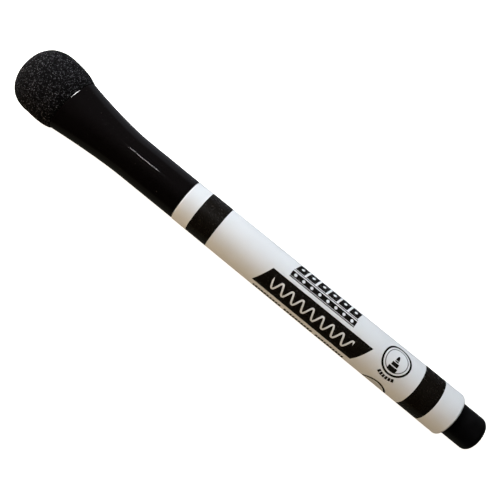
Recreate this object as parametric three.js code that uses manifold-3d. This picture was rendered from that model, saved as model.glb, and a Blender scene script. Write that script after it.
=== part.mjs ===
/**
 * Slim whiteboard marker with a pull-off cap that flares out into a foam eraser.
 *
 * Millimetres, +Z up. The marker lies on its side along X: the closed end plug at -X, the eraser at +X, and the
 * wide plane of the flare horizontal. Every turned piece is a lathe about the X axis, drawn with x counted from
 * the flat end of the plug. The cap is turned too, and one function then widens, thins, bends and tilts it into
 * its flare. At the end the whole marker is moved so that the origin is under the middle of its box.
 */
import * as THREE from "three";
import { mergeVertices } from "three/addons/utils/BufferGeometryUtils.js";
import Module from "manifold-3d";

const wasm = await Module();
wasm.setup();

// Driving dimensions ---------------------------------------------------------------------------------------------

const SEGMENTS = 48;
const PRESS = 0.05; // gap left where one piece is pressed into another
const RUNNING = 0.04; // radial clearance of the cap on the neck
const SEAT = 0.3; // gap at faces that bed against each other

// Places along the marker, from the flat end of the plug.
const BARREL_START = 8.0;
const BARREL_END = 86.9;
const CAP_MOUTH = 87.05;
const FLARE_START = 102.4;
const RIM = 121.5;
const FOAM_WIDEST = 128.2;
const TIP = 135.5;

// Barrel: a moulded tube with a little draft, widest at the plug.
const BARREL_REAR_RADIUS = 5.65;
const BARREL_FRONT_RADIUS = 5.33;
const BARREL_WALL = 1.0;
const SHOULDER_FILLET = 1.1;
const EDGE_CHAMFER = 0.15;

// End plug.
const PLUG_RADIUS = 4.33;
const PLUG_FILLET = 1.35;
const PLUG_WALL = 1.2;
const PLUG_SKIRT = 8.5;

// Ink store.
const FILLER_RADIUS = 3.5;
const FILLER_START = 12.4;
const FILLER_END = 82.4;
const WRAP_THICKNESS = 0.15;
const NIB_SOCKET_DEPTH = 5.0;

// Nib and the section that holds it.
const NIB_RADIUS = 1.5;
const NIB_LENGTH = 32.0;
const NIB_TIP = 110.0;
const SECTION_START = 74.4;
const SECTION_WALL = 0.6;
const NECK_RADIUS = 4.2;
const NECK_END = 96.9;
const BEAD_AT = 90.0;
const BEAD_HEIGHT = 0.1;
const LAND_RADIUS = 3.1;
const LAND_END = 101.4;
const NOSE_RADIUS = 1.95;
const NOSE_END = 106.0;

// Cap.
const CAP_MOUTH_RADIUS = 5.28;
const CAP_RADIUS = 5.3;
const CAP_BORE = NECK_RADIUS + BEAD_HEIGHT + RUNNING;
const LEDGE_START = 112.0;
const LEDGE_END = 113.4;
const LEDGE_RADIUS = 2.6;
const POCKET_RADIUS = 4.35;
const LIP_ROUNDING = 0.35;
const INNER_CAP_START = 97.6;
const INNER_CAP_BORE = LAND_RADIUS + RUNNING;
const INNER_CAP_FLOOR = 110.8;

// Flare, measured at the rim.
const FLARE_GAIN = 0.348; // how much wider than the cap tube
const FLARE_LOSS = 0.112; // how much thinner than the cap tube
const FLARE_POWER = 1.6;
const BEND = 0.37; // how far the rim's centre swings towards -Y
const BEND_POWER = 1.5;
const RIM_TILT = 0.12; // slope of the rim's plane across Y

// Eraser and what it sits on.
const FOAM_HALF_WIDTH = 8.11;
const FOAM_RIM_HALF_WIDTH = 7.5;
const FOAM_STEM_HALF_WIDTH = 4.9;
const FOAM_FLATNESS = 0.697; // thickness over width
const FOAM_TIP_TILT = 0.04; // slope of the dome's widest section across Y
const FOAM_BEND = 0.53; // how much further the centre swings between the rim and the widest section
const DOME_POWER = 2.32;
const SEAT_FACE = 120.0;
const MAGNET_RADIUS = 3.0;
const MAGNET_THICKNESS = 2.2;
const MAGNET_AT = 117.0;
const MAGNET_UNDERSIDE = -2.9;

// Materials ------------------------------------------------------------------------------------------------------

const finish = (color, roughness, metalness = 0) =>
  new THREE.MeshStandardMaterial({ color, roughness, metalness });
const whitePlastic = finish("#e4e6e8", 0.35);
const blackPlastic = finish("#0b0909", 0.15);
const satinBlack = finish("#070607", 0.4);
const sealPlastic = finish("#e9e7e0", 0.45);
const fibre = finish("#17161a", 0.95);
const film = finish("#dfe3e6", 0.25);
const foam = finish("#161618", 1.0);
const magnetMetal = finish("#b9bbbf", 0.3, 1);

// Shaping --------------------------------------------------------------------------------------------------------

/** Outline points on a quarter round, from one angle to another (degrees, 0 along +radius, 90 along +x). */
function arc(x, r, radius, from, to, steps = 4) {
  return Array.from({ length: steps + 1 }, (_, i) => {
    const angle = THREE.MathUtils.degToRad(from + ((to - from) * i) / steps);
    return [x + radius * Math.sin(angle), r + radius * Math.cos(angle)];
  });
}

/** Solid turned about X from an outline of [x, radius] points that runs from -x to +x on its outside. */
function turned(outline, segments = SEGMENTS) {
  const points = outline.map(([x, r]) => new THREE.Vector2(r, x));
  return new THREE.LatheGeometry(points, segments).rotateZ(-Math.PI / 2);
}

/** A tube's outline closes on itself. */
const ring = (outline) => [...outline, outline[0]];

/** Moves every corner of a geometry by a function of its place. */
function reshaped(geometry, place) {
  const position = geometry.attributes.position;
  for (let i = 0; i < position.count; i += 1) {
    const moved = place(position.getX(i), position.getY(i), position.getZ(i));
    position.setXYZ(i, ...moved);
  }
  return geometry;
}

/** How far along the flare a point is: 0 on the cap tube, 1 at the rim and past it. */
const alongFlare = (x) => THREE.MathUtils.clamp((x - FLARE_START) / (RIM - FLARE_START), 0, 1);

const bendAt = (x) => -BEND * alongFlare(x) ** BEND_POWER;

/** Carries a point of the turned cap to its place on the flare. */
function flare(x, y, z) {
  const along = alongFlare(x);
  const gain = along ** FLARE_POWER;
  const wide = y * (1 + FLARE_GAIN * gain);
  return [x + RIM_TILT * along * wide, wide + bendAt(x), z * (1 - FLARE_LOSS * gain)];
}

/** Carries a point of the turned eraser to its place: flattened, bent further, and tilted less from the rim on. */
function squashFoam(x, y, z) {
  const past = THREE.MathUtils.clamp((x - RIM) / (FOAM_WIDEST - RIM), 0, 1);
  const tilt = THREE.MathUtils.lerp(RIM_TILT, FOAM_TIP_TILT, past);
  return [x + tilt * y, y + bendAt(x) - FOAM_BEND * past, z * FOAM_FLATNESS];
}

/** Evenly spaced values from one number to another, both included. */
function spread(from, to, count) {
  return Array.from({ length: count }, (_, i) => THREE.MathUtils.lerp(from, to, i / (count - 1)));
}

/** A geometry as a manifold solid, and back. */
function toSolid(geometry) {
  const bare = geometry.clone();
  bare.deleteAttribute("normal");
  bare.deleteAttribute("uv");
  const merged = mergeVertices(bare, 1e-4);
  return new wasm.Manifold(
    new wasm.Mesh({
      numProp: 3,
      vertProperties: new Float32Array(merged.attributes.position.array),
      triVerts: new Uint32Array(merged.index.array),
    }),
  );
}

function fromSolid(solid) {
  const { vertProperties, triVerts } = solid.getMesh();
  const geometry = new THREE.BufferGeometry();
  geometry.setAttribute("position", new THREE.BufferAttribute(vertProperties, 3));
  geometry.setIndex(new THREE.BufferAttribute(triVerts, 1));
  geometry.computeVertexNormals();
  return geometry;
}

// Barrel side ----------------------------------------------------------------------------------------------------

const barrelRadius = (x) =>
  THREE.MathUtils.mapLinear(x, BARREL_START, BARREL_END, BARREL_REAR_RADIUS, BARREL_FRONT_RADIUS);
const boreRadius = (x) => barrelRadius(x) - BARREL_WALL;

function barrel() {
  const shoulder = arc(
    BARREL_START + SHOULDER_FILLET,
    BARREL_REAR_RADIUS - SHOULDER_FILLET,
    SHOULDER_FILLET,
    -80,
    0,
  );
  return turned(
    ring([
      [BARREL_START, boreRadius(BARREL_START)],
      ...shoulder,
      [BARREL_END - EDGE_CHAMFER, barrelRadius(BARREL_END)],
      [BARREL_END, BARREL_FRONT_RADIUS - EDGE_CHAMFER],
      [BARREL_END, boreRadius(BARREL_END)],
    ]),
  );
}

function endPlug() {
  const skirtEnd = BARREL_START + PLUG_SKIRT;
  const skirtRadius = boreRadius(skirtEnd) - PRESS;
  return turned([
    [0, 0],
    ...arc(PLUG_FILLET, PLUG_RADIUS - PLUG_FILLET, PLUG_FILLET, -90, 0),
    [BARREL_START + SEAT, PLUG_RADIUS],
    [BARREL_START + SEAT, skirtRadius],
    [skirtEnd - SEAT, skirtRadius],
    [skirtEnd, skirtRadius - SEAT],
    [skirtEnd, skirtRadius - PLUG_WALL / 2],
    [FILLER_START - SEAT, FILLER_RADIUS + WRAP_THICKNESS + PRESS],
    [FILLER_START - SEAT, PLUG_RADIUS - PLUG_WALL - SEAT],
    [PLUG_WALL, PLUG_RADIUS - PLUG_WALL - SEAT],
    [PLUG_WALL, 0],
  ]);
}

function inkFiller() {
  const socket = NIB_RADIUS + SEAT;
  return turned([
    [FILLER_START, 0],
    [FILLER_START, FILLER_RADIUS],
    [FILLER_END, FILLER_RADIUS],
    [FILLER_END, socket],
    [FILLER_END - NIB_SOCKET_DEPTH, socket],
    [FILLER_END - NIB_SOCKET_DEPTH, 0],
  ]);
}

function fillerWrap() {
  const inside = FILLER_RADIUS + PRESS / 2;
  const outside = inside + WRAP_THICKNESS;
  return turned(
    ring([
      [FILLER_START, inside],
      [FILLER_START, outside],
      [FILLER_END, outside],
      [FILLER_END, inside],
    ]),
  );
}

function section() {
  const spigot = boreRadius(BARREL_END) - PRESS;
  const chamber = FILLER_RADIUS + WRAP_THICKNESS + PRESS + RUNNING;
  const nibBore = NIB_RADIUS + PRESS;
  return turned(
    ring([
      [SECTION_START, spigot - SECTION_WALL],
      [SECTION_START + SEAT, spigot],
      [BARREL_END, spigot],
      [BARREL_END, NECK_RADIUS],
      [BEAD_AT - 0.6, NECK_RADIUS],
      [BEAD_AT - 0.2, NECK_RADIUS + BEAD_HEIGHT],
      [BEAD_AT + 0.2, NECK_RADIUS + BEAD_HEIGHT],
      [BEAD_AT + 0.6, NECK_RADIUS],
      [NECK_END - 0.4, NECK_RADIUS],
      [NECK_END, NECK_RADIUS - 0.4],
      [NECK_END, LAND_RADIUS],
      [LAND_END, LAND_RADIUS],
      [LAND_END + 0.4, LAND_RADIUS - 0.35],
      [NOSE_END - 0.3, NOSE_RADIUS + 0.1],
      [NOSE_END, NOSE_RADIUS - 0.1],
      [NOSE_END, nibBore],
      [NECK_END - 3, nibBore],
      [FILLER_END + 2, chamber - 1],
      [FILLER_END + SEAT, chamber],
    ]),
  );
}

function nib() {
  const start = NIB_TIP - NIB_LENGTH;
  return turned([
    [start, 0],
    [start, NIB_RADIUS * 0.5],
    [start + 2, NIB_RADIUS],
    [NIB_TIP - 2.4, NIB_RADIUS],
    [NIB_TIP - 1.5, NIB_RADIUS * 0.9],
    [NIB_TIP - 0.7, NIB_RADIUS * 0.66],
    [NIB_TIP - 0.2, NIB_RADIUS * 0.36],
    [NIB_TIP, 0],
  ]);
}

// Cap side -------------------------------------------------------------------------------------------------------

function capShell() {
  const body = spread(FLARE_START, RIM - LIP_ROUNDING, 8).map((x) => [x, CAP_RADIUS]);
  const lip = arc(RIM - LIP_ROUNDING, CAP_RADIUS - LIP_ROUNDING, LIP_ROUNDING, 30, 90, 2);
  const pocket = spread(RIM, LEDGE_END, 4).map((x) => [x, POCKET_RADIUS]);
  return reshaped(
    turned(
      ring([
        [CAP_MOUTH, CAP_BORE],
        [CAP_MOUTH, CAP_MOUTH_RADIUS],
        ...body,
        ...lip,
        ...pocket,
        [LEDGE_END, LEDGE_RADIUS],
        [LEDGE_START, LEDGE_RADIUS],
        [LEDGE_START, CAP_BORE],
        [FLARE_START, CAP_BORE],
      ]),
    ),
    flare,
  );
}

function innerCap() {
  const outside = CAP_BORE - PRESS;
  const end = LEDGE_START - SEAT;
  return reshaped(
    turned([
      [INNER_CAP_FLOOR, 0],
      [INNER_CAP_FLOOR, 1.6],
      [LAND_END + 5, NOSE_RADIUS + 0.7],
      [LAND_END + 0.6, INNER_CAP_BORE],
      [INNER_CAP_START + 0.4, INNER_CAP_BORE],
      [INNER_CAP_START, INNER_CAP_BORE + 0.3],
      [INNER_CAP_START, outside],
      [FLARE_START, outside],
      [end, outside],
      [end, 0],
    ]),
    flare,
  );
}

function magnet() {
  const disc = new THREE.CylinderGeometry(MAGNET_RADIUS, MAGNET_RADIUS, MAGNET_THICKNESS, 32);
  disc.rotateX(Math.PI / 2);
  return disc.translate(MAGNET_AT, bendAt(MAGNET_AT), MAGNET_UNDERSIDE + MAGNET_THICKNESS / 2);
}

/** The oval block that fills the flare behind the foam, with a well in its underside for the magnet. */
function eraserSeat() {
  const side = spread(LEDGE_END + SEAT, SEAT_FACE, 4).map((x) => [x, POCKET_RADIUS - PRESS * 2]);
  const block = reshaped(turned([[LEDGE_END + SEAT, 0], ...side, [SEAT_FACE, 0]]), flare);
  const wellHeight = POCKET_RADIUS + MAGNET_UNDERSIDE + MAGNET_THICKNESS + SEAT;
  const well = new THREE.CylinderGeometry(MAGNET_RADIUS + SEAT, MAGNET_RADIUS + SEAT, wellHeight, 32);
  well.rotateX(Math.PI / 2);
  well.translate(MAGNET_AT, bendAt(MAGNET_AT), wellHeight / 2 - POCKET_RADIUS);
  return fromSolid(toSolid(block).subtract(toSolid(well)));
}

function eraserFoam() {
  const neck = spread(RIM + SEAT, FOAM_WIDEST, 5).map((x) => {
    const left = (FOAM_WIDEST - x) / (FOAM_WIDEST - RIM);
    return [x, FOAM_HALF_WIDTH - (FOAM_HALF_WIDTH - FOAM_RIM_HALF_WIDTH) * left ** 2];
  });
  const dome = spread(10, 90, 12).map((degrees) => {
    const along = Math.sin(THREE.MathUtils.degToRad(degrees));
    const across = Math.max(0, 1 - along ** DOME_POWER) ** (1 / DOME_POWER);
    return [FOAM_WIDEST + (TIP - FOAM_WIDEST) * along, FOAM_HALF_WIDTH * across];
  });
  return reshaped(
    turned([
      [SEAT_FACE + SEAT, 0],
      [SEAT_FACE + SEAT, FOAM_STEM_HALF_WIDTH],
      [RIM + SEAT, FOAM_STEM_HALF_WIDTH],
      ...neck,
      ...dome.slice(0, -1),
      [TIP, 0],
    ]),
    squashFoam,
  );
}

// Assembly -------------------------------------------------------------------------------------------------------

const pieces = {
  barrel: [barrel(), whitePlastic],
  end_plug: [endPlug(), satinBlack],
  ink_filler: [inkFiller(), fibre],
  filler_wrap: [fillerWrap(), film],
  nib_section: [section(), satinBlack],
  nib: [nib(), fibre],
  cap_shell: [capShell(), blackPlastic],
  inner_cap: [innerCap(), sealPlastic],
  magnet: [magnet(), magnetMetal],
  eraser_seat: [eraserSeat(), satinBlack],
  eraser_foam: [eraserFoam(), foam],
};

const marker = new THREE.Group();
for (const [name, [geometry, material]] of Object.entries(pieces)) {
  const mesh = new THREE.Mesh(geometry, material);
  mesh.name = name;
  marker.add(mesh);
}

const box = new THREE.Box3().setFromObject(marker);
const middle = box.getCenter(new THREE.Vector3());
marker.position.set(-middle.x, -middle.y, -box.min.z);
marker.updateMatrixWorld(true);

export default marker;
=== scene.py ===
"""Whiteboard marker: fine surfaces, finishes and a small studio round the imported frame.

Every size here is in millimetres, and counted along the marker from the flat end of its plug, unless its
name says otherwise. Local places are [x, y, z] from the axis at that end, and to_row carries them to the
frame, in metres.
"""

import math
from functools import reduce
from itertools import product
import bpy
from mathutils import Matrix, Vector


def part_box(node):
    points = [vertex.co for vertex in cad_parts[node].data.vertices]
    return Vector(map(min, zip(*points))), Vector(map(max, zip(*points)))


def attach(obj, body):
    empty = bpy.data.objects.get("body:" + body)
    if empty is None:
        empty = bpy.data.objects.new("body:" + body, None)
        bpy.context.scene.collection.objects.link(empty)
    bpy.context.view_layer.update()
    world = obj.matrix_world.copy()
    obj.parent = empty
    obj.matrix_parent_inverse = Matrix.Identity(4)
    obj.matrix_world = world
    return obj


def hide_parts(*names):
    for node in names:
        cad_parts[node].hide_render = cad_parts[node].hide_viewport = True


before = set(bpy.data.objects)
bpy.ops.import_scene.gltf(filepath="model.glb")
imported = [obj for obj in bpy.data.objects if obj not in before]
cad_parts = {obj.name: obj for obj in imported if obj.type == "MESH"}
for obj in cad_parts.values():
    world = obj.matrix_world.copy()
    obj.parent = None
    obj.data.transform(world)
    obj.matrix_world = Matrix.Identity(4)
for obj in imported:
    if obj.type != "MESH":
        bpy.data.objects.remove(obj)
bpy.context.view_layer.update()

from types import SimpleNamespace

import bpy
import numpy as np
from bpy.props import FloatProperty, FloatVectorProperty, IntProperty, PointerProperty
from mathutils import Matrix, Vector

bl_info = {
    "name": "Whiteboard marker",
    "version": (1, 0, 0),
    "blender": (4, 5, 0),
    "location": "3D View > Sidebar > Marker",
    "description": "Builds a slim whiteboard marker with a flared eraser cap around its CAD frame",
    "category": "Object",
}

MM = 0.001


def linear(code):
    """Linear red, green, blue and 1 from an sRGB hex colour."""
    srgb = np.array([int(code[i : i + 2], 16) for i in (1, 3, 5)]) / 255
    values = np.where(srgb <= 0.04045, srgb / 12.92, ((srgb + 0.055) / 1.055) ** 2.4)
    return (*values.tolist(), 1.0)


# Places and sizes that the frame gives --------------------


def along(node):
    """Where a CAD node starts and ends along the marker, in mm from the flat end of the plug."""
    low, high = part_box(node)
    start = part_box("end_plug")[0].x
    return (low.x - start) / MM, (high.x - start) / MM


def half_width(node):
    """Half of a CAD node's width across Y, in mm."""
    low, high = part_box(node)
    return (high.y - low.y) / 2 / MM


PLUG_LOW, PLUG_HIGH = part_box("end_plug")
AXIS_START = Vector((PLUG_LOW.x, (PLUG_LOW.y + PLUG_HIGH.y) / 2, (PLUG_LOW.z + PLUG_HIGH.z) / 2))
BARREL_START, BARREL_END = along("barrel")
PLUG_END = along("end_plug")[1]
FILLER_START, FILLER_END = along("ink_filler")
SECTION_START, NOSE_END = along("nib_section")
NIB_START, NIB_TIP = along("nib")
CAP_MOUTH = along("cap_shell")[0]
INNER_CAP_START = along("inner_cap")[0]
TIP = along("eraser_foam")[1]
BARREL_REAR = half_width("barrel")
SPIGOT = half_width("nib_section")
NIB_RADIUS = half_width("nib")


def to_row(points):
    """Local millimetre points, as an (n, 3) array, in the row frame in metres."""
    return points * MM + np.array(AXIS_START)


# Settings -------------------------------------------------


def length(name, description, millimetres):
    """A size, held in metres."""
    return FloatProperty(
        name=name, description=description, default=millimetres * MM, min=0, unit="LENGTH", precision=5
    )


def colour(name, description, code):
    """A colour, held as linear values."""
    return FloatVectorProperty(
        name=name, description=description, default=linear(code), size=4, subtype="COLOR", min=0, max=1
    )


class MarkerBarrelSettings(bpy.types.PropertyGroup):
    front_radius: length("Front radius", "Barrel radius where it meets the cap", 5.33)
    wall: length("Wall", "Barrel wall thickness", 1.0)
    shoulder: length("Shoulder", "Rounding of the barrel's rear shoulder", 1.1)
    front_edge: length("Front edge", "Rounding of the barrel's front edge", 0.16)
    plug_radius: length("Plug radius", "Radius of the stepped plug", 4.33)
    plug_rounding: length("Plug rounding", "Rounding of the plug's end", 1.35)
    plastic: colour("Barrel plastic", "Satin white polypropylene", "#DCDDDF")
    ink: colour("Printing ink", "Black screen printing ink", "#110E0A")
    plug_plastic: colour("Plug plastic", "Satin black polypropylene", "#050405")


class MarkerTipSettings(bpy.types.PropertyGroup):
    neck_radius: length("Neck radius", "Radius of the neck the cap slides on", 4.2)
    bead: length("Bead", "Height of the snap bead", 0.1)
    land_radius: length("Land radius", "Radius of the land that seals in the inner cap", 3.1)
    nose_radius: length("Nose radius", "Radius of the nose at the nib", 1.95)
    felt: colour("Nib fibre", "Bonded fibre soaked with black ink", "#141316")
    film: colour("Filler film", "Film round the ink filler", "#DFE3E6")


class MarkerCapSettings(bpy.types.PropertyGroup):
    radius: length("Cap radius", "Radius of the cap's round part", 5.3)
    bore: length("Cap bore", "Radius inside the cap", 4.34)
    lip: length("Lip rounding", "Rounding of the cap's oval rim", 0.24)
    seal_bore: length("Seal bore", "Radius inside the inner cap", 3.14)
    plastic: colour("Cap plastic", "Polished black polystyrene", "#080606")
    seal: colour("Seal plastic", "Waxy off-white polyethylene", "#E9E7E0")
    nickel: colour("Nickel plate", "Nickel plate on the magnet", "#C4C2BC")


class MarkerEraserSettings(bpy.types.PropertyGroup):
    cell: length("Foam cell", "Distance between the foam's open cells", 0.28)
    relief: length("Foam relief", "Depth of the open cells", 0.12)
    seed: IntProperty(name="Foam seed", description="Which arrangement of cells", default=7, min=0)
    # painted shade: a darker black for the pores than for the struts, for the shade down in the cells
    pore: colour("Foam pores", "Black foam, down in the cells", "#020202")
    strut: colour("Foam struts", "Black foam, on the walls between the cells", "#040405")
    # painted highlight: a pale tint put in the base colour of a few random foam grains
    glint: colour("Foam glints", "Skin of cut struts that catches the light", "#605E62")


class MarkerStageSettings(bpy.types.PropertyGroup):
    lens: FloatProperty(
        name="Lens", description="Focal length on a 36 mm sensor", default=44.83, unit="CAMERA"
    )
    eye_along: length("Camera place", "Where the camera hangs along the marker", 67.31)
    height: length("Camera height", "Camera height over the marker's axis", 145.23)
    roll: FloatProperty(
        name="Camera roll",
        description="Heading of the picture's top edge, from +X towards +Y",
        default=math.radians(-50.81),
        subtype="ANGLE",
    )
    floor: colour("Floor", "Pale light-table board", "#F7F7F5")
    floor_glow: FloatProperty(
        name="Floor glow", description="Light that the light table adds", default=0.96, min=0
    )
    window: colour("Window light", "Cool daylight", "#F6FBFF")
    fill: colour("Fill light", "Warm light back from the room", "#FFE7C4")


def read(group):
    """A settings group as plain values: lengths in mm, the rest as they are."""
    known = group.bl_rna.properties
    values = {key: getattr(group, key) for key in group.__annotations__}
    return SimpleNamespace(
        **{key: value / MM if known[key].unit == "LENGTH" else value for key, value in values.items()}
    )


# Outlines and surfaces ------------------------------------

FINE = 192  # steps round a turned piece
FILLET_STEPS = 6
PAST_FILLET = 1.15  # where the extra points lie, as a share of the fillet's reach
MOST_OF_SIDE = 0.45  # the share of a straight side that one fillet may take
POLE = 1e-6  # a radius under this is on the axis


def rounded(corners, closed=True):
    """Outline through [x, radius, fillet] corners. Each fillet is an arc that touches both straight sides,
    with one more point close to each end, so that smooth shading leaves the straight sides straight."""
    corners = np.asarray(corners, float)
    points = []
    count = len(corners)
    for i, (x, r, fillet) in enumerate(corners):
        here = np.array([x, r])
        if fillet <= 0 or (not closed and i in (0, count - 1)):
            points.append(here)
            continue
        before = corners[i - 1, :2] - here
        after = corners[(i + 1) % count, :2] - here
        before_length, after_length = np.linalg.norm(before), np.linalg.norm(after)
        before, after = before / before_length, after / after_length
        half = math.acos(np.clip(before @ after, -1, 1)) / 2
        reach = min(fillet / math.tan(half), MOST_OF_SIDE * before_length, MOST_OF_SIDE * after_length)
        radius = reach * math.tan(half)
        centre = here + (before + after) / np.linalg.norm(before + after) * radius / math.sin(half)
        start, end = here + before * reach - centre, here + after * reach - centre
        turn = math.pi - 2 * half
        steps = np.linspace(0, 1, FILLET_STEPS + 1)[:, None]
        sweep = (np.sin((1 - steps) * turn) * start + np.sin(steps * turn) * end) / math.sin(turn)
        points.append(here + before * reach * PAST_FILLET)
        points.extend(centre + sweep)
        points.append(here + after * reach * PAST_FILLET)
    return np.array(points)


def divided(outline, step, start, closed=True):
    """The outline with its long sides past a place on the axis cut into steps, so that they can curve."""
    pairs = zip(outline, np.roll(outline, -1, axis=0)) if closed else zip(outline[:-1], outline[1:])
    pieces = []
    for here, there in pairs:
        long_side = max(here[0], there[0]) > start and np.linalg.norm(there - here) > step
        cuts = int(np.linalg.norm(there - here) / step) + 1 if long_side else 1
        pieces.append(here + (there - here) * (np.arange(cuts) / cuts)[:, None])
    if not closed:
        pieces.append(outline[-1:])
    return np.concatenate(pieces)


def turned_grid(outline, segments):
    """Points and faces of an outline carried round X. An [x, r] point becomes [x, r sin a, r cos a] at each
    angle a. An outline that ends on the axis gets one point there and a fan of triangles; any other closes on
    itself."""
    capped = outline[0, 1] < POLE
    rings = outline[1:-1] if capped else outline
    angle = np.arange(segments) * (2 * math.pi / segments)
    x, r = rings[:, 0][:, None], rings[:, 1][:, None]
    grid = np.stack([x + 0 * angle, r * np.sin(angle), r * np.cos(angle)], axis=-1).reshape(-1, 3)
    index = np.arange(len(rings) * segments).reshape(len(rings), segments)
    following, next_ring = np.roll(index, -1, axis=1), np.roll(index, -1, axis=0)
    quads = np.stack([index, next_ring, np.roll(next_ring, -1, axis=1), following], axis=-1)
    faces = quads[: len(rings) - capped].reshape(-1, 4).tolist()
    if capped:
        first, last = len(grid), len(grid) + 1
        grid = np.vstack([grid, [outline[0, 0], 0, 0], [outline[-1, 0], 0, 0]])
        faces += [[first, a, b] for a, b in zip(index[0], following[0])]
        faces += [[last, b, a] for a, b in zip(index[-1], following[-1])]
    return grid, faces


def piece(name, points, faces, body, nodes, material, attributes=()):
    """One object from local points and faces, riding on a body and standing for its CAD nodes."""
    mesh = bpy.data.meshes.new(name)
    mesh.from_pydata(to_row(points).tolist(), [], faces)
    mesh.polygons.foreach_set("use_smooth", np.ones(len(mesh.polygons), bool))
    for label, values in attributes:
        layer = mesh.attributes.new(label, "FLOAT", "POINT")
        layer.data.foreach_set("value", np.asarray(values, np.float32))
    mesh.materials.append(material)
    mesh.update()
    made = bpy.data.objects.new(name, mesh)
    bpy.context.scene.collection.objects.link(made)
    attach(made, body)
    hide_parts(*nodes)
    return made


def finish_node(node, material):
    """Gives a CAD node that keeps its shape a better material."""
    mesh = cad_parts[node].data
    mesh.materials.clear()
    mesh.materials.append(material)


# The cap's flare ------------------------------------------

FLARE_START = 102.4
RIM = 121.5
FLARE_GAIN = 0.348
FLARE_LOSS = 0.112
FLARE_POWER = 1.6
BEND = 0.37
BEND_POWER = 1.5
RIM_TILT = 0.12


def flare_share(x):
    """0 on the cap's round part, 1 at the rim and past it."""
    return np.clip((x - FLARE_START) / (RIM - FLARE_START), 0, 1)


def bend_at(x):
    """How far the centre line has swung towards -Y."""
    return -BEND * flare_share(x) ** BEND_POWER


def flared(points):
    """Turned points on the flare: the share along it, raised to a power, widens Y and thins Z; the centre
    line bends towards -Y; and x leans with y so that the rim's plane is tilted."""
    x, y, z = points.T
    share = flare_share(x)
    gain = share**FLARE_POWER
    wide = y * (1 + FLARE_GAIN * gain)
    return np.stack([x + RIM_TILT * share * wide, wide + bend_at(x), z * (1 - FLARE_LOSS * gain)], axis=-1)


# Node trees -----------------------------------------------

MATH = "ShaderNodeMath"
NOISE = "ShaderNodeTexNoise"
RANGE = "ShaderNodeMapRange"
MAPPING = "ShaderNodeMapping"
BUMP = "ShaderNodeBump"
VORONOI = "ShaderNodeTexVoronoi"
MIX = "ShaderNodeMix"
SEPARATE = "ShaderNodeSeparateXYZ"
FIRST, SECOND = 6, 7  # the two colours that a mix node takes, by number
IN_COLOUR = {"data_type": "RGBA", "output": 2}  # and its setting and output for them


def fill(tree, node, inputs):
    """Fills a node's inputs from values, or links them."""
    for key, value in inputs.items():
        if isinstance(value, bpy.types.NodeSocket):
            tree.links.new(value, node.inputs[key])
        else:
            node.inputs[key].default_value = value


def add(tree, kind, inputs, output=0, **settings):
    """Adds one node, sets its properties, fills its inputs and gives one output."""
    node = tree.nodes.new(kind)
    for key, value in settings.items():
        setattr(node, key, value)
    fill(tree, node, inputs)
    return node.outputs[output]


def new_material(name, **values):
    """A material with one Principled shader, its plain values set on the shader's own sockets."""
    material = bpy.data.materials.new(name)
    material.use_nodes = True
    tree = material.node_tree
    shader = tree.nodes["Principled BSDF"]
    fill(tree, shader, {key.replace("_", " "): value for key, value in values.items()})
    return material, tree, shader


def local_mm(tree):
    """Object coordinates moved to the axis at the plug's flat end, in mm."""
    place = add(tree, "ShaderNodeTexCoord", {}, output="Object")
    start = tuple(-value / MM for value in AXIS_START)
    return add(tree, MAPPING, {"Vector": place, "Location": start, "Scale": (1 / MM, 1 / MM, 1 / MM)})


def clouds(tree, place, per_mm, detail, low, high, middle=(0.3, 0.7)):
    """A cloudy pattern with some features per mm. The middle of the noise is carried to low and high."""
    noise = add(tree, NOISE, {"Vector": place, "Scale": per_mm, "Detail": detail})
    limits = dict(zip(("From Min", "From Max", "To Min", "To Max"), (*middle, low, high)))
    return add(tree, RANGE, {"Value": noise, **limits})


def surface(tree, shader, tint, rough, height, depth_mm):
    """Gives a shader its colour and roughness, and a bump from a height pattern, its depth in mm."""
    bump = add(tree, BUMP, {"Height": height, "Distance": depth_mm * MM})
    fill(tree, shader, {"Base Color": tint, "Roughness": rough, "Normal": bump})


def shaded(code, share):
    """A linear colour made darker, or lighter, by a share."""
    return tuple(min(1.0, share * value) for value in code[:3]) + (1.0,)


# Printing on the barrel -----------------------------------


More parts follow.
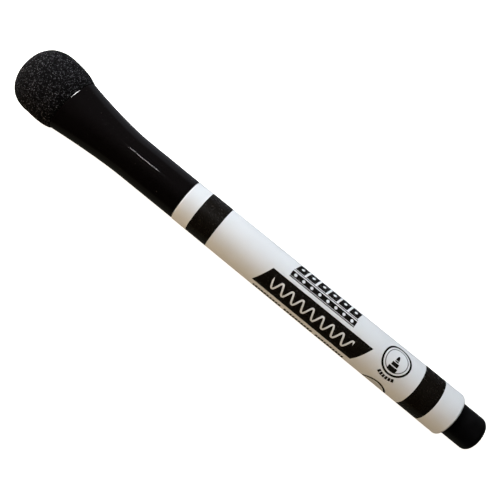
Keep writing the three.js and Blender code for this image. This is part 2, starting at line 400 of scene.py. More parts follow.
class Marks:
    """Marks on the barrel, as masks of 0 or 1 over a place along it and a place round it, both in mm.

    Round is the angle from the top towards +Y times the barrel's middle radius.
    """

    def __init__(self, tree, place, radius):
        self.tree = tree
        self.x, across, up = (add(tree, SEPARATE, {"Vector": place}, output=axis) for axis in "XYZ")
        angle = add(tree, MATH, {0: across, 1: up}, operation="ARCTAN2")
        self.round = add(tree, MATH, {0: angle, 1: radius}, operation="MULTIPLY")

    def joined(self, operation, masks):
        """Masks worked into one, two at a time."""
        return reduce(lambda one, other: add(self.tree, MATH, {0: one, 1: other}, operation=operation), masks)

    def all(self, *masks):
        """Where every mask is: their product."""
        return self.joined("MULTIPLY", masks)

    def any(self, *masks):
        """Where some mask is: the greatest of them."""
        return self.joined("MAXIMUM", masks)

    def cut(self, mask, hole):
        """Where a mask is and a hole is not."""
        return add(self.tree, MATH, {0: mask, 1: hole}, operation="GREATER_THAN")

    def within(self, value, low, high):
        """Where a value is no further from the middle of two limits than half their distance."""
        return add(self.tree, MATH, {0: value, 1: (low + high) / 2, 2: (high - low) / 2}, operation="COMPARE")

    def repeat(self, value, start, pitch):
        """A value that starts at 0 at a place, and again every pitch."""
        moved = add(self.tree, MATH, {0: value, 1: start}, operation="SUBTRACT")
        return add(self.tree, MATH, {0: moved, 1: pitch}, operation="FLOORED_MODULO")

    def lean(self, amount):
        """The place along the barrel, slid with the place round it, for slanted ends."""
        return add(self.tree, MATH, {0: self.round, 1: -amount, 2: self.x}, operation="MULTIPLY_ADD")

    def box(self, x_low, x_high, round_low, round_high):
        """A plain rectangle."""
        return self.all(self.within(self.x, x_low, x_high), self.within(self.round, round_low, round_high))

    def distance(self, value, x, around, squeeze=1.0):
        """Distance of a value along the barrel and the place round it from a point, the first squeezed."""
        along_it = add(self.tree, MATH, {0: value, 1: squeeze}, operation="MULTIPLY")
        here = add(self.tree, "ShaderNodeCombineXYZ", {"X": along_it, "Y": self.round})
        ends = {0: here, 1: (x * squeeze, around, 0)}
        return add(self.tree, "ShaderNodeVectorMath", ends, output="Value", operation="DISTANCE")


BANDS = ((13.8, 19.6), (76.8, 82.7))
PANEL_X = (32.75, 61.6)
PANEL_ROUND = (-0.72, 5.0)
PANEL_LEAN = 0.4
SCRIBBLE_X = (36.6, 59.8)
SCRIBBLE_ROUND = 2.1
SCRIBBLE_HEIGHT = 1.25
SCRIBBLE_PITCH = 2.9
SCRIBBLE_STROKE = 0.46
ROW_X = (38.9, 57.5)
BLOCKS = 6
BLOCKS_ROUND = (-7.0, -4.1)
BLOCKS_LEAN = 0.28
BLOCK_PITCH = 3.1
BLOCK_GAP = 0.55
BLOCK_HOLE = 0.42
BAR_ROUND = (-3.4, -2.0)
BAR_DOT_PITCH = 2.325
BAR_DOT = 0.4
RULES_ROUND = ((-3.92, -3.68), (-1.9, -1.64))
DASHES_X = (35.9, 62.8)
DASHES_ROUND = (6.2, 7.55)
DASH_PITCH = 0.85
DASH_STROKE = (0.07, 0.73)
WORD_PITCH = 9.2
WORD_LENGTH = 8.3
BADGE = (26.5, -2.0)
BADGE_RING = (3.2, 3.68)
BADGE_INNER_RING = (2.6, 2.84)
BADGE_STEPS = ((1.14, -0.45, 0.75), (0.87, -1.53, -0.62), (0.48, -2.0, -1.7))  # half length, lowest, highest
BADGE_TIP = (-3.25, -2.12)
BADGE_TIP_SQUEEZE = 2.6
CAPTION_RADII = (4.15, 5.0)
CAPTION_BEARING = 0.5  # in radians, as its strokes are
CAPTION_STROKE = (0.015, 0.15)
SECOND_BADGE = (26.5, 8.45)
SECOND_BADGE_RING = (3.12, 3.7)
SECOND_BADGE_BAR = (1.3, 0.5)  # half length, half width


def bands(marks):
    """Two solid rings."""
    return marks.any(*(marks.within(marks.x, low, high) for low, high in BANDS))


def panel(marks):
    """A slanted panel with a scribbled wave left open in it. The stroke is as wide across itself everywhere,
    because the limit on the distance round the barrel grows with the root of 1 and the slope squared."""
    tree = marks.tree
    turn = 2 * math.pi / SCRIBBLE_PITCH
    steepness = SCRIBBLE_HEIGHT * turn
    phase = add(tree, MATH, {0: marks.x, 1: turn}, operation="MULTIPLY")
    sine = add(tree, MATH, {0: phase}, operation="SINE")
    wave = add(tree, MATH, {0: sine, 1: SCRIBBLE_HEIGHT, 2: SCRIBBLE_ROUND}, operation="MULTIPLY_ADD")
    cosine = add(tree, MATH, {0: phase}, operation="COSINE")
    squared = add(tree, MATH, {0: cosine, 1: 2.0}, operation="POWER")
    spread = add(tree, MATH, {0: squared, 1: steepness**2, 2: 1.0}, operation="MULTIPLY_ADD")
    root = add(tree, MATH, {0: spread}, operation="SQRT")
    limit = add(tree, MATH, {0: root, 1: SCRIBBLE_STROKE / 2}, operation="MULTIPLY")
    off = add(tree, MATH, {0: marks.round, 1: wave}, operation="SUBTRACT")
    away = add(tree, MATH, {0: off}, operation="ABSOLUTE")
    stroke = add(tree, MATH, {0: away, 1: limit}, operation="LESS_THAN")
    leaning = marks.lean(PANEL_LEAN)
    solid = marks.all(marks.within(leaning, *PANEL_X), marks.within(marks.round, *PANEL_ROUND))
    return marks.cut(solid, marks.all(stroke, marks.within(marks.x, *SCRIBBLE_X)))


def blocks(marks):
    """A row of slanted blocks, each with a round hole, over a bar with a row of dots between two rules."""
    leaning = marks.lean(BLOCKS_LEAN)
    start = ROW_X[0] - BLOCKS_LEAN * BLOCKS_ROUND[1]
    step = marks.repeat(leaning, start, BLOCK_PITCH)
    solid = marks.all(
        marks.within(leaning, start, start + BLOCKS * BLOCK_PITCH),
        marks.within(marks.round, *BLOCKS_ROUND),
        marks.within(step, BLOCK_GAP / 2, BLOCK_PITCH - BLOCK_GAP / 2),
    )
    hole = marks.within(marks.distance(step, BLOCK_PITCH / 2, sum(BLOCKS_ROUND) / 2), 0, BLOCK_HOLE)
    along_bar = marks.repeat(marks.x, ROW_X[0], BAR_DOT_PITCH)
    dots = marks.within(marks.distance(along_bar, BAR_DOT_PITCH / 2, sum(BAR_ROUND) / 2), 0, BAR_DOT)
    bar = marks.cut(marks.box(*ROW_X, *BAR_ROUND), dots)
    return marks.any(marks.cut(solid, hole), bar, *(marks.box(*ROW_X, *rule) for rule in RULES_ROUND))


def dashes(marks):
    """A row of short strokes in groups, where small print would be."""
    stroke = marks.within(marks.repeat(marks.x, 0, DASH_PITCH), *DASH_STROKE)
    group = marks.within(marks.repeat(marks.x, DASHES_X[0], WORD_PITCH), 0, WORD_LENGTH)
    return marks.all(marks.box(*DASHES_X, *DASHES_ROUND), stroke, group)


def badge(marks):
    """Two rings round a plain stepped nib that points up the barrel's side, with a curved row of strokes
    below. Gives the solid marks and the thin grey inner ring."""
    x, around = BADGE
    away = marks.distance(marks.x, x, around)
    inside = marks.within(away, 0, BADGE_INNER_RING[1])
    steps = [marks.all(inside, marks.box(x - half, x + half, low, high)) for half, low, high in BADGE_STEPS]
    dome = marks.distance(marks.x, x, BADGE_TIP[1], squeeze=BADGE_TIP_SQUEEZE)
    reach = BADGE_TIP[1] - BADGE_TIP[0]
    tip = marks.all(marks.within(dome, 0, reach), marks.within(marks.round, *BADGE_TIP))
    off_x = add(marks.tree, MATH, {0: marks.x, 1: x}, operation="SUBTRACT")
    off_round = add(marks.tree, MATH, {0: marks.round, 1: around}, operation="SUBTRACT")
    bearing = add(marks.tree, MATH, {0: off_x, 1: off_round}, operation="ARCTAN2")
    caption = marks.all(
        marks.within(away, *CAPTION_RADII),
        marks.within(bearing, -CAPTION_BEARING, CAPTION_BEARING),
        marks.within(marks.repeat(bearing, -CAPTION_BEARING, CAPTION_BEARING / 3), *CAPTION_STROKE),
    )
    solid = marks.any(marks.within(away, *BADGE_RING), *steps, tip, caption)
    return solid, marks.within(away, *BADGE_INNER_RING)


def second_badge(marks):
    """A ring round a grey disc with a plain bar. Gives the solid marks and the grey."""
    x, around = SECOND_BADGE
    away = marks.distance(marks.x, x, around)
    half, thick = SECOND_BADGE_BAR
    bar = marks.box(x - half, x + half, around - thick, around + thick)
    return marks.any(marks.within(away, *SECOND_BADGE_RING), bar), marks.within(away, 0, BADGE_INNER_RING[1])


# Materials ------------------------------------------------


def printed_white_polypropylene(settings):
    """Injection-moulded polypropylene, screen printed. The plastic is satin and a little translucent, with a
    mould texture too fine to see but enough to spread highlights. The ink lies on it as a smoother film."""
    material, tree, shader = new_material(
        "printed_white_polypropylene",
        IOR=1.49,
        Subsurface_Weight=0.12,
        Subsurface_Radius=(1.0, 0.9, 0.8),
        Subsurface_Scale=0.8 * MM,
    )
    place = local_mm(tree)
    marks = Marks(tree, place, (BARREL_REAR + settings.front_radius) / 2)
    badge_marks, thin_ring = badge(marks)
    second_marks, grey_disc = second_badge(marks)
    ink = marks.any(bands(marks), panel(marks), blocks(marks), dashes(marks), badge_marks, second_marks)
    ring_tint = add(tree, MATH, {0: thin_ring, 1: 0.8}, operation="MULTIPLY")
    disc_tint = add(tree, MATH, {0: grey_disc, 1: 0.2}, operation="MULTIPLY")
    cover = marks.any(ink, ring_tint, disc_tint)
    # the white drifts a little over some 4 mm, as mixed pigment does
    mottle = clouds(tree, place, 0.25, 2, 0.0, 1.0)
    white = tuple(settings.plastic)
    plastic = add(tree, MIX, {"Factor": mottle, FIRST: shaded(white, 0.985), SECOND: white}, **IN_COLOUR)
    printed = add(tree, MIX, {"Factor": cover, FIRST: plastic, SECOND: tuple(settings.ink)}, **IN_COLOUR)
    # handling rubs the satin unevenly, and the ink is glossier than the plastic
    rubbed = clouds(tree, place, 1.6, 4, 0.34, 0.44, middle=(0.35, 0.7))
    gloss = add(tree, MATH, {0: cover, 1: -0.14, 2: rubbed}, operation="MULTIPLY_ADD")
    # spark erosion leaves pits about 0.1 mm apart in the mould, and the ink fills them
    spark = clouds(tree, place, 9.0, 3, 0.0, 1.0, middle=(0.0, 1.0))
    bare = add(tree, MATH, {0: 1.0, 1: cover}, operation="SUBTRACT")
    pits = add(tree, MATH, {0: spark, 1: bare}, operation="MULTIPLY")
    surface(tree, shader, printed, gloss, pits, 0.006)
    return material


def moulded_black(name, base, rough, texture_mm, dust=0.0):
    """Black plastic from a mould. Roughness drifts in its range where hands rub it, hairline scratches cross
    it, its mould texture is a depth in mm, and a share of pale dust clings to it in specks."""
    material, tree, shader = new_material(name, IOR=1.49)
    place = local_mm(tree)
    base = tuple(base)
    tone = clouds(tree, place, 0.6, 2, 0.0, 1.0)
    tinted = add(tree, MIX, {"Factor": tone, FIRST: shaded(base, 0.8), SECOND: base}, **IN_COLOUR)
    specks = clouds(tree, place, 1.7, 1, 0.0, dust, middle=(0.78, 0.84))
    dusty = add(tree, MIX, {"Factor": specks, FIRST: tinted, SECOND: linear("#8E857C")}, **IN_COLOUR)
    drift = clouds(tree, place, 0.35, 3, *rough, middle=(0.35, 0.65))
    stretched = add(tree, MAPPING, {"Vector": place, "Rotation": (0.3, 0.5, 0.6), "Scale": (0.25, 6.0, 6.0)})
    hairline = clouds(tree, stretched, 1.4, 2, 0.0, 0.12, middle=(0.68, 0.74))
    worn = add(tree, MATH, {0: drift, 1: hairline}, operation="ADD")
    texture = add(tree, NOISE, {"Vector": place, "Scale": 7.0, "Detail": 3.0})
    surface(tree, shader, dusty, worn, texture, texture_mm)
    return material


def waxy_polyethylene(base):
    """Moulded polyethylene: soft off-white, translucent, with a low waxy gloss."""
    material, tree, shader = new_material(
        "waxy_polyethylene",
        IOR=1.51,
        Subsurface_Weight=0.35,
        Subsurface_Radius=(1.0, 0.9, 0.75),
        Subsurface_Scale=1.2 * MM,
    )
    place = local_mm(tree)
    cloud = clouds(tree, place, 0.8, 2, 0.0, 1.0)
    milky = add(tree, MIX, {"Factor": cloud, FIRST: shaded(base, 0.86), SECOND: tuple(base)}, **IN_COLOUR)
    wax = clouds(tree, place, 3.0, 2, 0.4, 0.55)
    texture = add(tree, NOISE, {"Vector": place, "Scale": 5.0, "Detail": 2.0})
    surface(tree, shader, milky, wax, texture, 0.01)
    return material


def inked_fibre(base):
    """Bonded polyester fibre soaked in ink: long fibres about 0.1 mm apart along the nib, dark and damp."""
    material, tree, shader = new_material("inked_fibre", IOR=1.45, Sheen_Weight=0.25, Sheen_Roughness=0.5)
    fibres = add(tree, MAPPING, {"Vector": local_mm(tree), "Scale": (0.5, 9.0, 9.0)})
    strand = add(tree, NOISE, {"Vector": fibres, "Scale": 1.0, "Detail": 4.0, "Roughness": 0.6})
    dry = add(tree, RANGE, {"Value": strand, "From Min": 0.45, "From Max": 0.7})
    inked = add(tree, MIX, {"Factor": dry, FIRST: tuple(base), SECOND: shaded(base, 5.0)}, **IN_COLOUR)
    damp = add(tree, RANGE, {"Value": strand, "To Min": 0.4, "To Max": 0.95})
    surface(tree, shader, inked, damp, strand, 0.05)
    return material


def marked(name, base, per_mm, detail, rough, depth_mm, **values):
    """A bare surface whose one noise pattern darkens it, dulls it and raises it together. The pattern has
    some features per mm along X, Y and Z."""
    material, tree, shader = new_material(name, **values)
    place = add(tree, MAPPING, {"Vector": local_mm(tree), "Scale": per_mm})
    pattern = add(tree, NOISE, {"Vector": place, "Scale": 1.0, "Detail": detail})
    tone = add(tree, MIX, {"Factor": pattern, FIRST: shaded(base, 0.8), SECOND: tuple(base)}, **IN_COLOUR)
    dull = add(tree, RANGE, {"Value": pattern, "To Min": rough[0], "To Max": rough[1]})
    surface(tree, shader, tone, dull, pattern, depth_mm)
    return material


def sealed_film(base):
    """Heat-sealed film round the filler: glossy, with lengthwise creases about 0.5 mm apart."""
    return marked("sealed_film", base, (0.15, 2.0, 2.0), 3.0, (0.05, 0.4), 0.03, IOR=1.5)


def nickel_plate(base):
    """Nickel-plated sintered magnet: metal with tumbling marks about 0.25 mm apart."""
    return marked("nickel_plate", base, (4.0, 4.0, 4.0), 4.0, (0.1, 0.52), 0.01, Metallic=1.0)


def open_cell_foam(settings):
    """Open-cell polyurethane foam, cut and skived. Its base colour is near black, with painted shade that
    makes the pores darker than the struts, and painted highlights: a few random grains get a pale tint,
    standing in for cut strut ends that catch the light, so that it looks like fine dark sand. The grains are
    about 0.2 mm, a little coarser than the real strut ends, so that they show. The mesh carries the struts as
    an attribute."""
    material, tree, shader = new_material(
        "open_cell_foam", IOR=1.45, Specular_IOR_Level=0.04, Sheen_Weight=0.015, Sheen_Roughness=0.5
    )
    pore, ridge, painted_glint_tint = (tuple(tint) for tint in (settings.pore, settings.strut, settings.glint))
    strut = add(tree, "ShaderNodeAttribute", {}, output="Fac", attribute_name="strut")
    grain = add(tree, VORONOI, {"Vector": local_mm(tree), "Scale": 5.4}, output="Position")
    turned = add(tree, "ShaderNodeTexWhiteNoise", {"Vector": grain})
    # painted highlight: a high power picks a few random grains for the pale tint, as if they faced the light
    painted_glint_grains = add(tree, MATH, {0: turned, 1: 9.0}, operation="POWER")
    share = add(tree, RANGE, {"Value": strut, "To Min": 0.2, "To Max": 1.0})
    glint = add(tree, MATH, {0: painted_glint_grains, 1: share}, operation="MULTIPLY")
    # painted shade: the base colour goes darker from the struts into the pores
    body = add(tree, MIX, {"Factor": strut, FIRST: pore, SECOND: ridge}, **IN_COLOUR)
    # painted highlight: the pale tint is mixed into the base colour on the picked grains
    lit = add(tree, MIX, {"Factor": glint, FIRST: body, SECOND: painted_glint_tint}, **IN_COLOUR)
    rough = add(tree, RANGE, {"Value": glint, "To Min": 0.9, "To Max": 0.6})
    fill(tree, shader, {"Base Color": lit, "Roughness": rough})
    return material


def pale_board(settings):
    """Matt acrylic board of a light table: white, with a faint mottle, and lit a little from below."""
    material, tree, shader = new_material(
        "pale_acrylic_board",
        IOR=1.49,
        Roughness=0.9,
        Specular_IOR_Level=0.1,
        Emission_Strength=settings.floor_glow,
    )
    mottle = clouds(tree, local_mm(tree), 0.05, 3, 0.0, 1.0)
    board = tuple(settings.floor)
    mixed = add(tree, MIX, {"Factor": mottle, FIRST: shaded(board, 0.98), SECOND: board}, **IN_COLOUR)
    fill(tree, shader, {"Base Color": mixed, "Emission Color": mixed})
    return material


# Operators: the barrel side -------------------------------


class MARKER_OT_barrel(bpy.types.Operator):
    """Makes the printed barrel tube"""

    bl_idname = "marker.barrel"
    bl_label = "Barrel"

    def execute(self, context):
        s = read(context.scene.marker_barrel)
        rear, front = BARREL_REAR, s.front_radius
        outline = rounded(
            [
                [BARREL_START, rear - s.wall, 0.1],
                [BARREL_START, rear, s.shoulder],
                [BARREL_END, front, s.front_edge],
                [BARREL_END, front - s.wall, 0.1],
            ]
        )
        points, faces = turned_grid(outline, FINE)
        material = printed_white_polypropylene(s)
        piece("barrel_tube", points, faces, "barrel", ["barrel"], material)
        return {"FINISHED"}


class MARKER_OT_end_plug(bpy.types.Operator):
    """Makes the stepped plug pressed into the back of the barrel"""

    bl_idname = "marker.end_plug"
    bl_label = "End plug"

    def execute(self, context):
        s = read(context.scene.marker_barrel)
        skirt = half_width("end_plug")
        gate_radius, gate_depth = 0.7, 0.12
        step_at, socket_at, floor_at = BARREL_START + 0.12, FILLER_START - 0.3, 1.2
        skirt_wall, socket, hollow = 0.6, 3.7, 2.8
        outline = rounded(
            [
                [gate_depth, 0, 0],
                [gate_depth, gate_radius, 0.05],
                [0, gate_radius + gate_depth, 0.06],
                [0, s.plug_radius, s.plug_rounding],
                [step_at, s.plug_radius, 0.05],
                [step_at, skirt, 0.1],
                [PLUG_END, skirt, 0.3],
                [PLUG_END, skirt - skirt_wall, 0.1],
                [socket_at, socket, 0.1],
                [socket_at, hollow, 0.1],
                [floor_at, hollow, 0.3],
                [floor_at, 0, 0],
            ],
            closed=False,
        )
        points, faces = turned_grid(outline, FINE)
        material = moulded_black("satin_black_polypropylene", s.plug_plastic, (0.3, 0.42), 0.005)
        piece("end_plug_moulding", points, faces, "barrel", ["end_plug"], material)
        return {"FINISHED"}


class MARKER_OT_ink_store(bpy.types.Operator):
    """Finishes the filler and its film, which stay inside the barrel"""

    bl_idname = "marker.ink_store"
    bl_label = "Ink filler and film"

    def execute(self, context):
        s = read(context.scene.marker_tip)
        finish_node("ink_filler", inked_fibre(s.felt))
        finish_node("filler_wrap", sealed_film(s.film))
        return {"FINISHED"}


class MARKER_OT_nib_section(bpy.types.Operator):
    """Makes the section: spigot, neck with its snap bead, sealing land and nose"""

    bl_idname = "marker.nib_section"
    bl_label = "Nib section"

    def execute(self, context):
        s = read(context.scene.marker_tip)
        bead_at, bead_reach, neck_end, land_end = 90.0, 0.6, 96.9, 101.4
        spigot_wall, chamber, funnel, nib_bore = 0.55, 3.74, 2.74, NIB_RADIUS + 0.05
        chamber_end, funnel_start, bore_start = FILLER_END + 0.3, FILLER_END + 2, neck_end - 3
        outline = rounded(
            [
                [SECTION_START, SPIGOT - spigot_wall, 0.05],
                [SECTION_START, SPIGOT, 0.3],
                [BARREL_END, SPIGOT, 0.02],
                [BARREL_END, s.neck_radius, 0.02],
                [bead_at - bead_reach, s.neck_radius, 0.4],
                [bead_at, s.neck_radius + s.bead, 0.8],
                [bead_at + bead_reach, s.neck_radius, 0.4],
                [neck_end, s.neck_radius, 0.4],
                [neck_end, s.land_radius, 0.15],
                [land_end, s.land_radius, 0.3],
                [NOSE_END, s.nose_radius, 0.25],
                [NOSE_END, nib_bore, 0.08],
                [bore_start, nib_bore, 0.1],
                [funnel_start, funnel, 0.1],
                [chamber_end, chamber, 0.1],
            ]
        )
        points, faces = turned_grid(outline, FINE)
        plastic = context.scene.marker_barrel.plug_plastic
        material = moulded_black("moulded_black_section", plastic, (0.22, 0.34), 0.004)
        piece("nib_section_moulding", points, faces, "barrel", ["nib_section"], material)
        return {"FINISHED"}


class MARKER_OT_nib(bpy.types.Operator):
    """Makes the bullet nib"""

    bl_idname = "marker.nib"
    bl_label = "Bullet nib"

    def execute(self, context):
        s = read(context.scene.marker_tip)
        bullet_length, bullet_power, taper_length, tail_radius = 2.6, 0.8, 2, NIB_RADIUS / 2
        # the bullet is a quarter of an ellipse whose radius is raised to a power, for a blunter point
        angle = np.linspace(0, math.pi / 2, 24)
        bullet_x = NIB_TIP - bullet_length * (1 - np.sin(angle))
        bullet = np.stack([bullet_x, NIB_RADIUS * np.cos(angle) ** bullet_power], axis=-1)
        bullet[-1, 1] = 0
        tail = [[NIB_START, 0], [NIB_START, tail_radius], [NIB_START + taper_length, NIB_RADIUS]]
        outline = np.vstack([tail, bullet])
        points, faces = turned_grid(outline, FINE // 2)
        piece("bullet_nib", points, faces, "barrel", ["nib"], inked_fibre(s.felt))
        return {"FINISHED"}


# Operators: the cap side ----------------------------------


class MARKER_OT_cap(bpy.types.Operator):
    """Makes the cap shell with its oval flare, and the inner cap that seals the nib"""

    bl_idname = "marker.cap"
    bl_label = "Cap and inner cap"

    def execute(self, context):
        s = read(context.scene.marker_cap)
        ledge_start, ledge_end, ledge_radius, draft = 112.0, 113.4, 2.6, 0.02
        outline = rounded(
            [
                [CAP_MOUTH, s.bore, 0.12],
                [CAP_MOUTH, s.radius - draft, 0.14],
                [FLARE_START, s.radius, 0],
                [RIM, s.radius, s.lip],
                [RIM, s.bore, 0.25],
                [ledge_end, s.bore, 0.2],
                [ledge_end, ledge_radius, 0.1],
                [ledge_start, ledge_radius, 0.1],
                [ledge_start, s.bore, 0.2],
            ]
        )
        points, faces = turned_grid(divided(outline, 0.3, FLARE_START), FINE)
        material = moulded_black("polished_black_polystyrene", s.plastic, (0.045, 0.06), 0.0001, dust=0.25)
        piece("cap_moulding", flared(points), faces, "cap", ["cap_shell"], material)
        outside, end = s.bore - 0.05, ledge_start - 0.3
        taper_start, step_at, floor = 102.0, 106.4, 110.8
        step_radius, floor_radius = 2.65, 1.6
        # from the closed end's floor inside to its back outside, so that faces point out
        lining = rounded(
            [
                [floor, 0, 0],
                [floor, floor_radius, 0.4],
                [step_at, step_radius, 0.5],
                [taper_start, s.seal_bore, 0.3],
                [INNER_CAP_START, s.seal_bore, 0.4],
                [INNER_CAP_START, outside, 0.15],
                [end, outside, 0.2],
                [end, 0, 0],
            ],
            closed=False,
        )
        points, faces = turned_grid(divided(lining, 0.5, FLARE_START, closed=False), FINE)
        material = waxy_polyethylene(s.seal)
        piece("inner_cap_moulding", flared(points), faces, "cap", ["inner_cap"], material)
        finish_node("magnet", nickel_plate(s.nickel))
        return {"FINISHED"}


INDEX_MIXERS = (73856093, 19349663, 83492791)
SEED_MIXER = 2654435761
VALUE_MIXERS = (747796405, 2891336453, 277803737)


def lattice_values(cell, seed):
    """Three repeatable numbers from 0 to 1 for each whole-number lattice cell: its three indices are mixed
    with large odd numbers, folded and read as fractions."""
    mixed = np.zeros(len(cell), np.uint32)
    for column, odd in zip(cell.T, INDEX_MIXERS):
        mixed ^= column.astype(np.int64).astype(np.uint32) * np.uint32(odd)
    mixed ^= np.uint32(seed * SEED_MIXER % 2**32)
    values = []
    for odd in VALUE_MIXERS:
        mixed = (mixed ^ (mixed >> np.uint32(15))) * np.uint32(odd)
        mixed ^= mixed >> np.uint32(13)
        values.append(mixed / 2.0**32)
    return np.stack(values, axis=-1)


def foam_cells(points, size, seed):
    """Distance to the nearest and to the second nearest centre of a jittered lattice, in cells, and a random
    number for the nearest cell. Where the two distances are close, a strut parts two cells."""
    scaled = points / size
    base = np.floor(scaled).astype(np.int64)
    nearest, second = np.full((2, len(points)), np.inf)
    tone = np.zeros(len(points))
    for offset in product((-1, 0, 1), repeat=3):
        cell = base + np.array(offset)
        values = lattice_values(cell, seed)
        gap = np.linalg.norm(scaled - cell - values, axis=1)
        closer = gap < nearest
        second = np.where(closer, nearest, np.minimum(second, gap))
        tone = np.where(closer, values[:, 0], tone)
        nearest = np.where(closer, gap, nearest)
    return nearest, second, tone


FOAM_WIDEST = 128.2
FOAM_HALF = 8.08
FOAM_RIM_HALF = 7.25
FOAM_STEM_HALF = 4.9
FOAM_ROLL = 0.15
FOAM_SWELL_POWER = 3
FOAM_FLATNESS = 0.697
FOAM_RIM_FLATNESS = 0.643
FOAM_TIP_TILT = 0.04
FOAM_BEND = 0.53
DOME_POWER = 2.4
FOAM_START = 120.3
FOAM_STEP = 0.1
FOAM_SEGMENTS = 448
STRUT_WIDTH = 0.45  # in cells, as are the reaches below
PIT_REACH = 0.62
PIT_LEAST = 0.45
HOLLOW_CELLS = 4.1
HOLLOW_REACH = 0.7
HOLLOW_DEPTH = 0.3
RELIEF_GROWTH = 1.5  # the relief is full this far past the rim


def foam_outline(step):
    """Stem in the flare's pocket, a rounded roll at the rim, a swell to the widest place, and a dome whose
    width and length follow x^p + y^p = 1. On the swell, the width still missing is the share of the way left,
    raised to a power. The visible part is cut into even steps."""
    seat, swell_start = RIM + 0.03, RIM + 0.8
    x = np.linspace(swell_start, FOAM_WIDEST, 40)
    left = (FOAM_WIDEST - x) / (FOAM_WIDEST - RIM)
    swell = np.stack([x, FOAM_HALF - (FOAM_HALF - FOAM_RIM_HALF) * left**FOAM_SWELL_POWER], axis=-1)
    corners = [[seat, FOAM_STEM_HALF, 0], [seat, FOAM_RIM_HALF, FOAM_ROLL], [*swell[0], 0]]
    roll = rounded(corners, closed=False)[:-1]
    angle = np.linspace(0, math.pi / 2, 400)[1:]
    share = 2 / DOME_POWER
    dome_x = FOAM_WIDEST + (TIP - FOAM_WIDEST) * np.sin(angle) ** share
    dome = np.stack([dome_x, FOAM_HALF * np.cos(angle).clip(0) ** share], axis=-1)
    path = np.vstack([roll, swell, dome])
    travelled = np.concatenate([[0], np.cumsum(np.linalg.norm(np.diff(path, axis=0), axis=1))])
    even = np.linspace(0, travelled[-1], int(travelled[-1] / step))
    visible = np.stack([np.interp(even, travelled, path[:, k]) for k in (0, 1)], axis=-1)
    visible[-1, 1] = 0
    return np.vstack([[[FOAM_START, 0], [FOAM_START, FOAM_STEM_HALF]], visible])


def squashed(points):
    """Turned foam points in place: Z is flattened, most at the rim; the centre line swings on past the rim;
    and x leans with y by a tilt that goes evenly from the rim's to the dome's."""
    x, y, z = points.T
    past = np.clip((x - RIM) / (FOAM_WIDEST - RIM), 0, 1)
    tilt = RIM_TILT + (FOAM_TIP_TILT - RIM_TILT) * past
    flatness = FOAM_RIM_FLATNESS + (FOAM_FLATNESS - FOAM_RIM_FLATNESS) * past
    return np.stack([x + tilt * y, y + bend_at(x) - FOAM_BEND * past, z * flatness], axis=-1)


def grid_normals(points, faces):
    """Outward unit normals: each face's normal is added to its corners, and the sums are scaled to 1."""
    quads = np.array([face if len(face) == 4 else [*face, face[0]] for face in faces])
    a, b, c, d = (points[quads[:, k]] for k in range(4))
    flat = np.cross(c - a, d - b)
    total = np.zeros_like(points)
    for k in range(4):
        np.add.at(total, quads[:, k], flat)
    return total / np.maximum(np.linalg.norm(total, axis=1, keepdims=True), 1e-12)


class MARKER_OT_eraser(bpy.types.Operator):
    """Makes the foam eraser with its open cells, and finishes the block behind it"""

    bl_idname = "marker.eraser"
    bl_label = "Foam eraser and its seat"

    def execute(self, context):
        s = read(context.scene.marker_eraser)
        points, faces = turned_grid(foam_outline(FOAM_STEP), FOAM_SEGMENTS)
        points = squashed(points)
        normals = grid_normals(points, faces)
        nearest, second, tone = foam_cells(points, s.cell, s.seed)
        strut = 1 - np.clip((second - nearest) / STRUT_WIDTH, 0, 1)
        pit = np.clip(1 - nearest / PIT_REACH, 0, 1) * (PIT_LEAST + (1 - PIT_LEAST) * tone)
        wide, _, _ = foam_cells(points, s.cell * HOLLOW_CELLS, s.seed + 1)
        hollow = np.clip(1 - wide / HOLLOW_REACH, 0, 1) * HOLLOW_DEPTH
        free = np.clip((points[:, 0] - RIM) / RELIEF_GROWTH, 0, 1)
        # the struts stand a full relief above the plain solid, and the pits go down from there
        height = s.relief * (1 - pit - hollow) * free
        points = points + normals * height[:, None]
        material, labels = open_cell_foam(s), [("strut", strut)]
        made = piece("foam_eraser_pad", points, faces, "cap", ["eraser_foam"], material, labels)
        plastic = context.scene.marker_barrel.plug_plastic
        finish_node("eraser_seat", moulded_black("moulded_black_seat", plastic, (0.35, 0.5), 0.01))
        return {"FINISHED"}


# Operators: the stage -------------------------------------


AIM_ALONG, AIM_ACROSS = 0.67, -0.48  # where the camera looks, from the place under it
# grey towards the plug, grey towards the cap, and the colour on the side away from the window
TABLE = ("#303032", "#7C7D84", "#44443C")
WALL = ("#1C1B1B", "#4E4A4C", "#000000")


def area_light(name, place, size, energy, tint, diffuse=True, glossy=True):
    """A rectangular lamp at a place in metres, turned to the marker's middle, its first side along X."""
    lamp = bpy.data.lights.new(name, "AREA")
    lamp.shape = "RECTANGLE"
    lamp.size, lamp.size_y = size
    lamp.energy = energy
    lamp.color = tint[:3]
    made = bpy.data.objects.new(name, lamp)
    bpy.context.scene.collection.objects.link(made)
    back = (Vector(place) - Vector((0, AXIS_START.y, AXIS_START.z))).normalized()
    side = Vector((1, 0, 0))
    side = (side - back * side.dot(back)).normalized()
    turn = Matrix((side, back.cross(side), back)).transposed()
    made.matrix_world = Matrix.Translation(place) @ turn.to_4x4()
    made.visible_diffuse = diffuse
    made.visible_glossy = glossy
    return made


def over_axis(x, away, tilt):
    """A place in metres: x from the marker's middle, a distance from its axis, a tilt from upright to -Y."""
    return (x, AXIS_START.y - away * math.sin(tilt), AXIS_START.z + away * math.cos(tilt))


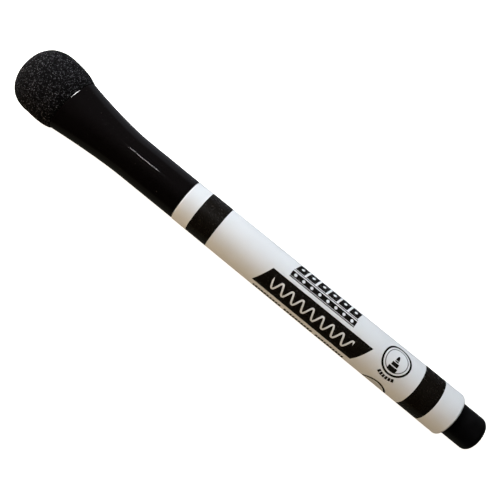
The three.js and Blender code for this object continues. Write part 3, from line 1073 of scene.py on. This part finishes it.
def room():
    """The surroundings. The camera sees a pale backdrop. Gloss sees a dim room: upwards a wall, grey on the
    window's side and black on the other, and downwards a table, grey on the window's side and olive on the
    other. The greys are darker towards the plug. The rest of the light is a faint even glow."""
    world = bpy.data.worlds.new("room")
    world.use_nodes = True
    tree = world.node_tree
    tree.nodes.clear()
    way = add(tree, "ShaderNodeTexCoord", {}, output="Generated")
    x, y, z = (add(tree, SEPARATE, {"Vector": way}, output=axis) for axis in "XYZ")
    forward = add(tree, RANGE, {"Value": x, "From Min": -0.45, "From Max": 0.25})
    sideways = add(tree, RANGE, {"Value": y, "From Min": -0.4, "From Max": 0.5})
    upwards = add(tree, RANGE, {"Value": z, "From Min": -0.1, "From Max": 0.1})
    halves = []
    for near_plug, near_cap, far_side in (TABLE, WALL):
        ends = {FIRST: linear(near_plug), SECOND: linear(near_cap)}
        grey = add(tree, MIX, {"Factor": forward, **ends}, **IN_COLOUR)
        ends = {FIRST: grey, SECOND: linear(far_side)}
        halves.append(add(tree, MIX, {"Factor": sideways, **ends}, **IN_COLOUR))
    mirrored = add(tree, MIX, {"Factor": upwards, FIRST: halves[0], SECOND: halves[1]}, **IN_COLOUR)
    glow = add(tree, "ShaderNodeBackground", {"Color": linear("#E6E2DC"), "Strength": 0.04})
    gloss = add(tree, "ShaderNodeBackground", {"Color": mirrored})
    backdrop = add(tree, "ShaderNodeBackground", {"Color": linear("#FFFFFF")})
    in_gloss = add(tree, "ShaderNodeLightPath", {}, output="Is Glossy Ray")
    in_view = add(tree, "ShaderNodeLightPath", {}, output="Is Camera Ray")
    light = add(tree, "ShaderNodeMixShader", {0: in_gloss, 1: glow, 2: gloss})
    seen = add(tree, "ShaderNodeMixShader", {0: in_view, 1: light, 2: backdrop})
    fill(tree, tree.nodes.new("ShaderNodeOutputWorld"), {"Surface": seen})
    return world


class MARKER_OT_stage(bpy.types.Operator):
    """Makes the floor, the lights, the surroundings and the camera"""

    bl_idname = "marker.stage"
    bl_label = "Stage, lights and camera"

    def execute(self, context):
        s = read(context.scene.marker_stage)
        reach = 3.0  # in metres, as every size on the stage is
        board = bpy.data.meshes.new("floor")
        corners = [(-reach, -reach, 0), (reach, -reach, 0), (reach, reach, 0), (-reach, reach, 0)]
        board.from_pydata(corners, [], [(0, 1, 2, 3)])
        board.materials.append(pale_board(s))
        floor = bpy.data.objects.new("floor", board)
        context.scene.collection.objects.link(floor)
        # the board neither shows in the gloss nor throws its light back on the marker
        floor.visible_diffuse = floor.visible_glossy = floor.visible_shadow = False

        window = over_axis(0.27, 0.32, math.radians(57))
        area_light("window", window, (0.34, 0.34), 3.35, s.window, glossy=False)
        warm = over_axis(0.35, 0.45, math.radians(-60))
        area_light("warm_fill", warm, (0.3, 0.3), 2.5, s.fill, glossy=False)
        # these two show only in the gloss: one on the cap's rim, one as a line along the cap
        edge = (0.46, -0.246, 0.25)
        area_light("edge_lamp", edge, (0.3, 0.14), 8.0, (1, 1, 1), diffuse=False)
        tube = over_axis(AXIS_START.x + 0.3097, 0.9, math.radians(27.1))
        area_light("tube_lamp", tube, (0.071, 0.004), 0.085, (1, 1, 1), diffuse=False)

        context.scene.world = room()
        context.scene.view_settings.view_transform = "Standard"

        camera = bpy.data.cameras.new("camera")
        camera.sensor_width = 36.0
        camera.lens = s.lens
        camera.clip_start = 0.01
        eye = Vector(to_row(np.array([s.eye_along, 0, s.height])))
        aim = Vector(to_row(np.array([s.eye_along + AIM_ALONG, AIM_ACROSS, 0])))
        forward = (aim - eye).normalized()
        top = Vector((math.cos(s.roll), math.sin(s.roll), 0))
        right = forward.cross(top).normalized()
        turn = Matrix((right, right.cross(forward), -forward)).transposed()
        made = bpy.data.objects.new("camera", camera)
        context.scene.collection.objects.link(made)
        made.matrix_world = Matrix.Translation(eye) @ turn.to_4x4()
        context.scene.camera = made
        return {"FINISHED"}


class MARKER_PT_panel(bpy.types.Panel):
    """Lists the marker's steps in the 3D view's sidebar"""

    bl_label = "Whiteboard marker"
    bl_idname = "MARKER_PT_panel"
    bl_space_type = "VIEW_3D"
    bl_region_type = "UI"
    bl_category = "Marker"

    def draw(self, context):
        for operator in STEPS:
            self.layout.operator(operator.bl_idname)
        for name in GROUPS:
            group = getattr(context.scene, name)
            column = self.layout.column(align=True)
            for key in group.__annotations__:
                column.prop(group, key)


GROUPS = {
    "marker_barrel": MarkerBarrelSettings,
    "marker_tip": MarkerTipSettings,
    "marker_cap": MarkerCapSettings,
    "marker_eraser": MarkerEraserSettings,
    "marker_stage": MarkerStageSettings,
}
STEPS = (
    MARKER_OT_stage,
    MARKER_OT_barrel,
    MARKER_OT_end_plug,
    MARKER_OT_ink_store,
    MARKER_OT_nib_section,
    MARKER_OT_nib,
    MARKER_OT_cap,
    MARKER_OT_eraser,
)


def register():
    for cls in (*GROUPS.values(), *STEPS, MARKER_PT_panel):
        bpy.utils.register_class(cls)
    for name, cls in GROUPS.items():
        setattr(bpy.types.Scene, name, PointerProperty(type=cls))


def unregister():
    for name in GROUPS:
        delattr(bpy.types.Scene, name)
    for cls in reversed((*GROUPS.values(), *STEPS, MARKER_PT_panel)):
        bpy.utils.unregister_class(cls)


def main():
    register()
    for operator in STEPS:
        group, name = operator.bl_idname.split(".")
        getattr(getattr(bpy.ops, group), name)()


if __name__ == "__main__":
    main()
